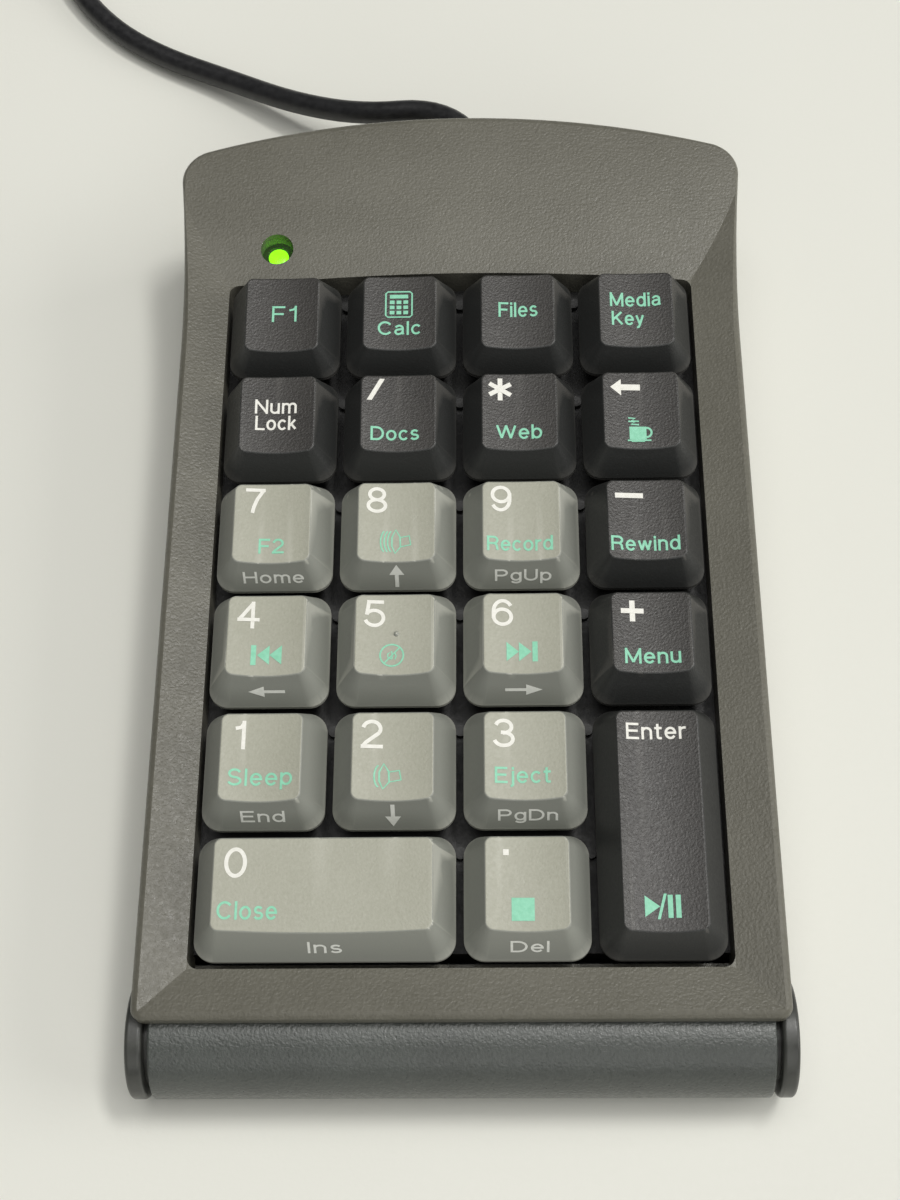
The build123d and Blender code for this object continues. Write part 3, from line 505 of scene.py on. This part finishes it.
# the middle lines of each character's strokes, with capitals one unit high, and its width
LETTERS = {
    "C": (0.74, [bow(0.39, 0.5, 0.39, 0.5, 40, 320, 24)]),
    "D": (0.70, [[(0, 0), (0, 1)], [(0, 1)] + bow(0.3, 0.5, 0.4, 0.5, 90, -90) + [(0, 0)]]),
    "E": (0.57, [[(0, 0), (0, 1)], [(0, 1), (0.56, 1)], [(0, 0.52), (0.51, 0.52)], [(0, 0), (0.57, 0)]]),
    "F": (0.53, [[(0, 0), (0, 1)], [(0, 1), (0.53, 1)], [(0, 0.5), (0.46, 0.5)]]),
    "H": (0.66, [[(0, 0), (0, 1)], [(0.66, 0), (0.66, 1)], [(0, 0.53), (0.66, 0.53)]]),
    "I": (0.0, [[(0, 0), (0, 1)]]),
    "K": (0.66, [[(0, 0), (0, 1)], [(0, 0.34), (0.62, 1)], [(0.22, 0.56), (0.66, 0)]]),
    "L": (0.5, [[(0, 0), (0, 1)], [(0, 0), (0.5, 0)]]),
    "M": (0.78, [[(0, 0), (0, 1)], [(0, 1), (0.39, 0.04)], [(0.39, 0.04), (0.78, 1)],
                 [(0.78, 0), (0.78, 1)]]),
    "N": (0.66, [[(0, 0), (0, 1)], [(0, 1), (0.66, 0)], [(0.66, 0), (0.66, 1)]]),
    "P": (0.6, [[(0, 0), (0, 1)], [(0, 1)] + bow(0.34, 0.73, 0.26, 0.27, 90, -90) + [(0, 0.46)]]),
    "R": (0.63, [[(0, 0), (0, 1)], [(0, 1)] + bow(0.36, 0.75, 0.25, 0.25, 90, -90) + [(0, 0.5)],
                 [(0.38, 0.5), (0.5, 0.44), (0.57, 0.33), (0.59, 0.12), (0.63, 0)]]),
    "S": (0.6, [bow(0.3, 0.745, 0.27, 0.255, 22, 262) + bow(0.3, 0.245, 0.3, 0.245, 82, -162)]),
    "U": (0.64, [[(0, 1)] + bow(0.32, 0.33, 0.32, 0.33, 180, 360) + [(0.64, 1)]]),
    "W": (1.08, [[(0, 1), (0.27, 0)], [(0.27, 0), (0.54, 1)], [(0.54, 1), (0.81, 0)],
                 [(0.81, 0), (1.08, 1)]]),
    "a": (0.48, [bow(0.23, 0.5, 0.21, 0.22, 160, 0) + [(0.44, 0.1), (0.48, 0)],
                 [(0.44, 0.44), (0.2, 0.39)] + bow(0.18, 0.195, 0.18, 0.195, 95, 275)
                 + [(0.34, 0.05), (0.44, 0.2)]]),
    "b": (0.5, [[(0, 0), (0, 1)], BOWL]),
    "c": (0.46, [bow(0.25, 0.36, 0.25, 0.36, 42, 318, 20)]),
    "d": (0.5, [[(0.5, 0), (0.5, 1)], BOWL]),
    "e": (0.5, [[(0.02, 0.37), (0.5, 0.37)], bow(0.25, 0.36, 0.25, 0.36, 4, 322, 22)]),
    "g": (0.5, [BOWL, [(0.5, 0.72)] + bow(0.25, -0.06, 0.25, 0.21, 0, -155)]),
    "i": (0.0, [[(0, 0), (0, 0.72)], [(0, 0.97), (0, 1)]]),
    "j": (0.1, [[(0.1, 0.72)] + bow(-0.02, -0.14, 0.12, 0.13, 0, -90, 6), [(0.1, 0.97), (0.1, 1)]]),
    "k": (0.44, [[(0, 0), (0, 1)], [(0, 0.22), (0.4, 0.72)], [(0.15, 0.4), (0.44, 0)]]),
    "l": (0.0, [[(0, 0), (0, 1)]]),
    "m": (0.78, [[(0, 0), (0, 0.72)], bow(0.195, 0.5, 0.195, 0.22, 180, 0) + [(0.39, 0)],
                 bow(0.585, 0.5, 0.195, 0.22, 180, 0) + [(0.78, 0)]]),
    "n": (0.45, [[(0, 0), (0, 0.72)], bow(0.225, 0.48, 0.225, 0.24, 180, 0) + [(0.45, 0)]]),
    "o": (0.52, [oval(0.26, 0.36, 0.26, 0.36)]),
    "p": (0.5, [[(0, -0.27), (0, 0.72)], BOWL]),
    "r": (0.25, [[(0, 0), (0, 0.72)], bow(0.23, 0.46, 0.23, 0.25, 180, 85, 8)]),
    "s": (0.42, [bow(0.21, 0.54, 0.18, 0.18, 28, 262) + bow(0.21, 0.18, 0.21, 0.18, 82, -155)]),
    "t": (0.27, [[(0.1, 0.94)] + bow(0.2, 0.11, 0.1, 0.11, 180, 270, 6) + [(0.25, 0)],
                 [(0, 0.72), (0.26, 0.72)]]),
    "u": (0.45, [[(0, 0.72)] + bow(0.225, 0.24, 0.225, 0.24, 180, 360), [(0.45, 0), (0.45, 0.72)]]),
    "w": (0.74, [[(0, 0.72), (0.18, 0)], [(0.18, 0), (0.37, 0.72)], [(0.37, 0.72), (0.56, 0)],
                 [(0.56, 0), (0.74, 0.72)]]),
    "y": (0.46, [[(0, 0.72), (0.23, 0.02)], [(0.46, 0.72), (0.2, -0.1), (0.13, -0.24), (0.03, -0.26)]]),
    "0": (0.56, [oval(0.28, 0.5, 0.28, 0.5)]),
    "1": (0.3, [[(0.3, 0), (0.3, 1)], [(0.3, 0.97), (0.2, 0.81), (0, 0.76)]]),
    "2": (0.57, [bow(0.28, 0.71, 0.27, 0.29, 168, -38) + [(0.1, 0.16), (0, 0)], [(0, 0), (0.57, 0)]]),
    "3": (0.56, [bow(0.27, 0.75, 0.24, 0.25, 162, -92), bow(0.27, 0.26, 0.28, 0.26, 95, -165)]),
    "4": (0.58, [[(0.42, 0), (0.42, 1)], [(0.42, 1), (0, 0.3)], [(0, 0.3), (0.58, 0.3)]]),
    "5": (0.56, [[(0.5, 1), (0.1, 1)], [(0.1, 1), (0.04, 0.46)], bow(0.27, 0.32, 0.28, 0.32, 142, -160, 20)]),
    "6": (0.57, [oval(0.285, 0.32, 0.28, 0.32), [(0, 0.32)] + bow(0.3, 0.54, 0.3, 0.46, 180, 35)]),
    "7": (0.55, [[(0, 1), (0.55, 1)], [(0.55, 1), (0.34, 0.6), (0.23, 0.25), (0.19, 0)]]),
    "8": (0.56, [oval(0.28, 0.755, 0.235, 0.245), oval(0.28, 0.255, 0.28, 0.255)]),
    "9": (0.57, [oval(0.285, 0.68, 0.28, 0.32), [(0.57, 0.68)] + bow(0.27, 0.46, 0.3, 0.46, 0, -145)]),
}
LETTER_GAP = 0.27


SQUARE_END, SLOPING_END = 0.5, 0.12    # in widths of the stroke
THIN, BOLD = 0.36, 0.57            # strokes of words and of digits


def stroke(points, width):
    """A stroke whose ends run on: by half its width where it is level or upright, else by less."""
    first, last = Vector(points[0]), Vector(points[-1])
    if (first - last).length < 0.01 * width:
        return line(points[:-1], width, True)
    ends = []
    for end, beside in ((first, Vector(points[1])), (last, Vector(points[-2]))):
        run = (end - beside).normalized()
        square = min(abs(run.x), abs(run.y)) < 0.1
        ends.append(tuple(end + run * width * (SQUARE_END if square else SLOPING_END)))
    return line([ends[0], *points[1:-1], ends[1]], width)


def word(text, x, base, width, capital, thick=THIN):
    """Letters centred on x and standing on base; capital is the height of the capitals."""
    pen, strokes = 0.0, []
    for letter in text:
        wide, lines = LETTERS[letter]
        strokes += [[(px + pen, py) for px, py in points] for points in lines]
        pen += wide + LETTER_GAP
    across = [px for points in strokes for px, _ in points]
    left, right = min(across), max(across)
    sx = (width - thick) / max(right - left, 0.01)
    sy = capital - thick
    shape = Shape()
    for points in strokes:
        placed = [(x + (px - (left + right) / 2) * sx, base + thick / 2 + py * sy) for px, py in points]
        shape += stroke(placed, thick)
    return shape


# ---- icons, each about one unit high ----------------------------------------------------------
def calculator_icon():
    frame_line = [(0.08, 0), (0.92, 0), (1, 0.08), (1, 1.07), (0.92, 1.15), (0.08, 1.15), (0, 1.07), (0, 0.08)]
    shape = line(frame_line, 0.06, True)
    shape += bar(0.15, 0.85, 0.85, 1.02)
    for column in range(3):
        for row in range(3):
            x, y = 0.15 + column * 0.26, 0.13 + row * 0.235
            shape += bar(x, y, x + 0.18, y + 0.16)
    return shape


def cup_icon():
    shape = bar(0.05, 0.1, 0.72, 0.62) + bar(0.12, 0, 0.65, 0.12) + bar(-0.03, 0.03, 0.9, 0.09)
    shape += arc(0.72, 0.38, 0.2, 0.19, -90, 90, 0.08)
    for lift in (0.72, 0.86):
        shape += line([(0.02, lift + 0.12), (0.3, lift + 0.1), (0.12, lift), (0.44, lift - 0.02)], 0.06)
    return shape


def speaker_icon(waves):
    """A loudspeaker in outline that faces left, with a number of sound waves."""
    shape = line([(0.62, 0.28), (1, 0.36), (0.94, 0.72), (0.6, 0.66)], 0.06, True)
    cone = [(0.62, 0.28), (0.42, 0.02), (0.3, 0.32), (0.3, 0.66), (0.44, 0.98), (0.6, 0.68)]
    shape += line(cone, 0.06, True)
    for wave in range(waves):
        shift = 0.13 * wave
        shape += arc(0.36 - shift, 0.5, 0.22, 0.46, 115, 245, 0.055)
    return shape


def mute_icon():
    shape = line(circle(0.5, 0.5, 0.47), 0.07, True)
    shape += line([(0.2, 0.16), (0.82, 0.84)], 0.06)
    shape += line([(0.52, 0.34), (0.5, 0.68), (0.34, 0.56), (0.34, 0.42), (0.5, 0.32)], 0.055)
    return shape + line([(0.62, 0.32), (0.68, 0.48), (0.62, 0.6)], 0.055)


def skip_icon():
    """Bar and two triangles that point left."""
    shape = bar(0, 0, 0.17, 1)
    shape += polygon((0.2, 0.5), (0.6, 0.02), (0.6, 0.98))
    return shape + polygon((0.6, 0.5), (1.0, 0.02), (1.0, 0.98))


def play_pause_icon():
    shape = polygon((0, 0.08), (0.42, 0.5), (0, 0.92))
    shape += polygon((0.34, 0), (0.42, 0), (0.62, 1), (0.54, 1))
    return shape + bar(0.64, 0.05, 0.78, 0.95) + bar(0.86, 0.05, 1.0, 0.95)


def arrow(length, head, width, wide):
    """An arrow that points left, centred on its middle."""
    half = length / 2
    shape = polygon((-half, 0), (-half + head, -wide / 2), (-half + head, wide / 2))
    return shape + bar(-half + head * 0.9, -width / 2, half, width / 2)


def turned(shape, quarters):
    for _ in range(quarters):
        shape = Shape([(-y, x, lift) for x, y, lift in shape.corners], shape.faces)
    return shape


def star(radius, width):
    shape = Shape()
    for angle in (90, 30, 150):
        x, y = radius * cos(radians(angle)), radius * sin(radians(angle))
        shape += line([(-x, -y), (x, y)], width)
    return shape


# ---- legends ---------------------------------------------------------------------------------
DIGIT, CAP_SMALL = 4.4, 2.45
DIGIT_X, DIGIT_Y = -3.05, 1.6      # digit's middle and foot, from the key's centre
WORD_Y = -4.6                      # foot of the lower word


def digit(text, width=3.2, x=DIGIT_X):
    return word(text, x, DIGIT_Y, width, DIGIT, BOLD)


def legends():
    """For each key: column, row, width and depth in units, then (ink, face, shape) for each print."""
    mint, white, soft = "mint_ink", "white_ink", "grey_ink"
    skip = skip_icon()
    slash = polygon((-5.0, 2.45), (-4.2, 2.45), (-2.2, 6.3), (-3.0, 6.3))
    point_left = arrow(5.5, 2.4, 0.55, 2.0)
    point_up = turned(arrow(4.4, 2.0, 0.6, 2.3), 3)
    return {
        "key_f1": (0, 0, 1, 1, [(mint, "top", word("F1", 0.3, -1.5, 4.0, 2.9))]),
        "key_calculator": (1, 0, 1, 1, [(mint, "top", calculator_icon().fitted(-0.17, 1.4, 4.5, 4.9)),
                                        (mint, "top", word("Calc", -0.1, -4.2, 6.9, 2.5))]),
        "key_files": (2, 0, 1, 1, [(mint, "top", word("Files", 0.05, -1.2, 6.3, 2.7))]),
        "key_media": (3, 0, 1, 1, [(mint, "top", word("Media", -0.05, 0.4, 8.2, 2.55)),
                                   (mint, "top", word("Key", -1.35, -3.0, 5.2, 2.55))]),
        "key_num_lock": (0, 1, 1, 1, [(white, "top", word("Num", -0.3, 0.35, 6.6, 2.5)),
                                      (white, "top", word("Lock", -0.2, -2.55, 6.5, 2.5))]),
        "key_divide": (1, 1, 1, 1, [(white, "top", slash),
                                    (mint, "top", word("Docs", -0.5, WORD_Y, 7.6, CAP_SMALL))]),
        "key_multiply": (2, 1, 1, 1, [(white, "top", star(1.95, 0.75).moved(-3.0, 4.1)),
                                      (mint, "top", word("Web", -0.1, WORD_Y, 7.2, 2.5))]),
        "key_backspace": (3, 1, 1, 1, [(white, "top", arrow(4.7, 1.7, 1.05, 2.9).moved(-2.35, 4.2)),
                                       (mint, "top", cup_icon().fitted(-0.3, -3.2, 3.9, 4.3))]),
        "key_7": (0, 2, 1, 1, [(white, "top", digit("7", 3.0, -2.75)),
                               (mint, "top", word("F2", 0, -5.0, 3.9, 2.5)),
                               (soft, "front", word("Home", 0.2, -1.2, 9.3, 2.3))]),
        "key_8": (1, 2, 1, 1, [(white, "top", digit("8")),
                               (mint, "top", speaker_icon(3).fitted(-0.1, -3.2, 4.8, 4.2)),
                               (soft, "front", point_up)]),
        "key_9": (2, 2, 1, 1, [(white, "top", digit("9")),
                               (mint, "top", word("Record", -0.25, -5.0, 10.0, CAP_SMALL)),
                               (soft, "front", word("PgUp", 0.2, -1.2, 8.6, 2.3))]),
        "key_minus": (3, 2, 1, 1, [(white, "top", bar(-4.65, 3.65, -0.35, 4.5)),
                                   (mint, "top", word("Rewind", -0.3, -5.2, 10.4, CAP_SMALL))]),
        "key_4": (0, 3, 1, 1, [(white, "top", digit("4", 3.3, -2.85)),
                               (mint, "top", skip.fitted(0.05, -2.7, 4.6, 3.2)),
                               (soft, "front", point_left)]),
        "key_5": (1, 3, 1, 1, [(white, "top", digit("5", 3.2)),
                               (mint, "top", mute_icon().fitted(-0.4, -2.9, 3.7, 3.7))]),
        "key_6": (2, 3, 1, 1, [(white, "top", digit("6")),
                               (mint, "top", turned(skip, 2).fitted(-0.2, -2.5, 4.6, 3.2)),
                               (soft, "front", turned(point_left, 2))]),
        "key_plus": (3, 3, 1, 1, [(white, "top", bar(-4.5, 3.45, -1.1, 4.25) + bar(-3.2, 2.15, -2.4, 5.55)),
                                  (mint, "top", word("Menu", -0.05, WORD_Y, 8.2, CAP_SMALL))]),
        "key_1": (0, 4, 1, 1, [(white, "top", digit("1", 1.7, -3.2)),
                               (mint, "top", word("Sleep", 0.05, -3.9, 9.3, 2.6)),
                               (soft, "front", word("End", 0.3, -1.2, 6.4, 2.3))]),
        "key_2": (1, 4, 1, 1, [(white, "top", digit("2")),
                               (mint, "top", speaker_icon(1).fitted(-0.7, -2.6, 4.1, 4.0)),
                               (soft, "front", turned(point_up, 2))]),
        "key_3": (2, 4, 1, 1, [(white, "top", digit("3")),
                               (mint, "top", word("Eject", -0.4, -3.8, 8.0, CAP_SMALL)),
                               (soft, "front", word("PgDn", 0.3, -1.2, 8.6, 2.3))]),
        "key_enter": (3, 4.5, 1, 2, [(white, "top", word("Enter", -0.2, 12.2, 8.6, 2.5)),
                                     (mint, "top", play_pause_icon().fitted(-0.4, -12.2, 5.0, 3.6))]),
        "key_0": (0.5, 5, 2, 1, [(white, "top", digit("0", 3.2, -12.3)),
                                 (mint, "top", word("Close", -10.4, -4.3, 8.4, 2.6)),
                                 (soft, "front", word("Ins", 0.3, -1.2, 4.8, 2.3))]),
        "key_point": (2, 5, 1, 1, [(white, "top", bar(-3.35, 4.7, -2.55, 5.55)),
                                   (mint, "top", bar(-2.25, -4.6, 0.95, -1.35)),
                                   (soft, "front", word("Del", 0.25, -1.2, 5.4, 2.3))]),
    }


PRINT_LIFT = 0.04                  # height of the print over the plastic
FRONT_MIDDLE = 0.46                # where a front legend stands, as a share of the slope


def on_top(column, row, wide, deep):
    """Function from a flat place on a keytop to the deck frame."""
    front, back, z_front, z_back = ROW_TOPS[int(row)]
    front, back = front - (deep - 1) * PITCH / 2, back + (deep - 1) * PITCH / 2
    half = (TOP_WIDTH + (wide - 1) * PITCH) / 2
    radius = (half ** 2 + DISH ** 2) / (2 * DISH)
    key_x, key_y = (column - 1.5) * PITCH, (2.5 - row) * PITCH

    def place(x, y, lift):
        rim = z_front + (z_back - z_front) * (y - front) / (back - front)
        dip = radius - DISH - (radius ** 2 - x ** 2) ** 0.5
        return Vector((key_x + x, key_y + y, rim + dip + PRINT_LIFT + lift))

    return place


def on_front(column, row, wide, deep):
    """Function from a flat place on a key's front slope to the deck frame."""
    front, _, z_front, _ = ROW_TOPS[int(row)]
    front -= (deep - 1) * PITCH / 2
    foot = -SKIRT / 2 - (deep - 1) * PITCH / 2
    up = Vector((0, front - foot, z_front - SKIRT_BAND))
    middle = Vector((0, foot, SKIRT_BAND)) + up * FRONT_MIDDLE
    up.normalize()
    out = Vector((0, -up.z, up.y))
    key = Vector(((column - 1.5) * PITCH, (2.5 - row) * PITCH, 0))
    return lambda x, y, lift: key + middle + Vector((x, 0, 0)) + up * y + out * (PRINT_LIFT + lift)


def print_legends(materials):
    for node, (column, row, wide, deep, prints) in legends().items():
        places = {"top": on_top(column, row, wide, deep), "front": on_front(column, row, wide, deep)}
        used = sorted({ink_name for ink_name, _, _ in prints})
        corners, faces, inks = [], [], []
        for ink_name, face, shape in prints:
            base = len(corners)
            corners += [DECK @ places[face](*corner) * MM for corner in shape.corners]
            faces += [[i + base for i in f] for f in shape.faces]
            inks += [used.index(ink_name)] * len(shape.faces)
        mesh = bpy.data.meshes.new(node + "_print")
        mesh.from_pydata(corners, [], faces)
        for name in used:
            mesh.materials.append(materials[name].material)
        mesh.polygons.foreach_set("material_index", inks)
        piece = add_object(node + "_print", mesh)
        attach(piece, node + "_cap")


# ---- lamp face and rubber domes --------------------------------------------------------------
def solid_piece(name, corners, faces, surface, body):
    """A mesh from places in the deck frame (millimetres), with its normals outwards, riding on a body."""
    mesh = bpy.data.meshes.new(name)
    mesh.from_pydata([DECK @ Vector(corner) * MM for corner in corners], [], faces)
    shell = bmesh.new()
    shell.from_mesh(mesh)
    bmesh.ops.recalc_face_normals(shell, faces=shell.faces)
    shell.to_mesh(mesh)
    shell.free()
    mesh.materials.append(surface.material)
    piece = add_object(name, mesh)
    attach(piece, body)
    return piece


def turned_piece(name, x, y, rings, surface, body, closed):
    """Rings of (radius, height) joined in order, with a flat cap on the first and, if closed, on the last."""
    corners = [(px, py, z) for radius, z in rings for px, py in circle(x, y, radius)]
    faces = [list(range(ROUND))]
    for level in range(len(rings) - 1):
        low, high = level * ROUND, (level + 1) * ROUND
        faces += [(low + i, low + (i + 1) % ROUND, high + (i + 1) % ROUND, high + i) for i in range(ROUND)]
    if closed:
        faces.append(list(range(len(corners) - ROUND, len(corners))))
    return solid_piece(name, corners, faces, surface, body)


def make_lamp_face(materials):
    """The lamp's low domed face, close under its window."""
    face = turned_piece("lamp_face", LAMP_X, LAMP_Y, LAMP_FACE, materials["lamp_lens"], "case", False)
    face.data.shade_smooth()


def make_domes(materials):
    """The rubber sheet again, with each dome on its own."""
    centres = {node: ((k[0] - 1.5) * PITCH, (2.5 - k[1]) * PITCH) for node, k in legends().items()}
    (x0, y0), (x1, y1) = SHEET_LOW, SHEET_HIGH
    loops = [[(x0, y0), (x1, y0), (x1, y1), (x0, y1)]]
    loops += [circle(x, y, DOME_RIM_IN) for x, y in centres.values()]
    loops += [circle(x * PITCH, y * PITCH, SCREW_HOLE) for x, y in SCREW_PLACES]
    flat = [corner for loop in loops for corner in loop]
    count = len(flat)
    corners = [(x, y, SHEET_TOP) for x, y in flat] + [(x, y, SHEET_TOP - SHEET_THICK) for x, y in flat]
    faces = []
    for triangle in tessellate_polygon([[Vector((x, y, 0)) for x, y in loop] for loop in loops]):
        faces += [list(triangle), [i + count for i in triangle]]
    start = 0
    for loop in loops:
        size = len(loop)
        for i in range(size):
            a, b = start + i, start + (i + 1) % size
            faces.append((a, b, b + count, a + count))
        start += size
    sheet = solid_piece("dome_sheet_flat", corners, faces, materials["dome_rubber"], "case")
    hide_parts("dome_sheet")
    rings = [(DOME_CEILING_R, DOME_CEILING), (DOME_RIM_IN, SHEET_TOP),
             (DOME_RIM, SHEET_TOP), (DOME_TOP_R, DOME_TOP)]
    for node, (x, y) in centres.items():
        dome = turned_piece(node + "_dome", x, y, rings, materials["dome_rubber"], "case", True)
        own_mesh(dome)


# ---- floor, light ----------------------------------------------------------------------------
FLOOR_HALF = 1.5
WARM = (1.0, 0.99, 0.965)
WORLD_COLOUR, WORLD_STRENGTH = (0.96, 0.98, 1.0, 1.0), 0.08
LIGHTS = [                         # name, place, width, height, power
    ("key", (1.04, 0.5, 2.8), 0.8, 0.36, 25.0),
    ("ceiling", (0.2, 0.1, 3.0), 2.4, 2.4, 41.0),
    ("front", (0.6, -2.6, 1.8), 3.2, 2.0, 23.0),
    ("right", (4.2, 0.0, 2.3), 3.4, 2.8, 82.0),
]


def make_floor():
    size = FLOOR_HALF
    mesh = bpy.data.meshes.new("floor")
    corners = [(-size, -size, 0), (size, -size, 0), (size, size, 0), (-size, size, 0)]
    mesh.from_pydata(corners, [], [(0, 1, 2, 3)])
    mesh.materials.append(floor_white("floor_white").material)
    add_object("floor", mesh)


def make_light(name, place, width, height, power):
    """A rectangle of light that faces the part."""
    data = bpy.data.lights.new(name, "AREA")
    data.shape = "RECTANGLE"
    data.size, data.size_y, data.energy, data.color = width, height, power, WARM
    light = add_object(name, data)
    light.rotation_euler = (-Vector(place)).to_track_quat("-Z", "Y").to_euler()
    light.location = place


def light_scene():
    scene = bpy.context.scene
    scene.view_settings.view_transform = "Standard"
    scene.view_settings.look = "None"
    world = bpy.data.worlds.new("studio")
    world.use_nodes = True
    background = world.node_tree.nodes["Background"]
    background.inputs["Color"].default_value = WORLD_COLOUR
    background.inputs["Strength"].default_value = WORLD_STRENGTH
    scene.world = world
    for light in LIGHTS:
        make_light(*light)


# ---- all of it -------------------------------------------------------------------------------
make_camera()
materials = slot_materials()
materials["mint_ink"] = ink("mint_ink", srgb(150, 222, 190), srgb(138, 212, 178))
materials["white_ink"] = ink("white_ink", srgb(245, 244, 236), srgb(236, 235, 226))
materials["grey_ink"] = ink("grey_ink", srgb(242, 243, 236), srgb(234, 236, 228))
dress_nodes(materials)
make_cord(materials)
print_legends(materials)
make_lamp_face(materials)
make_domes(materials)
make_floor()
light_scene()
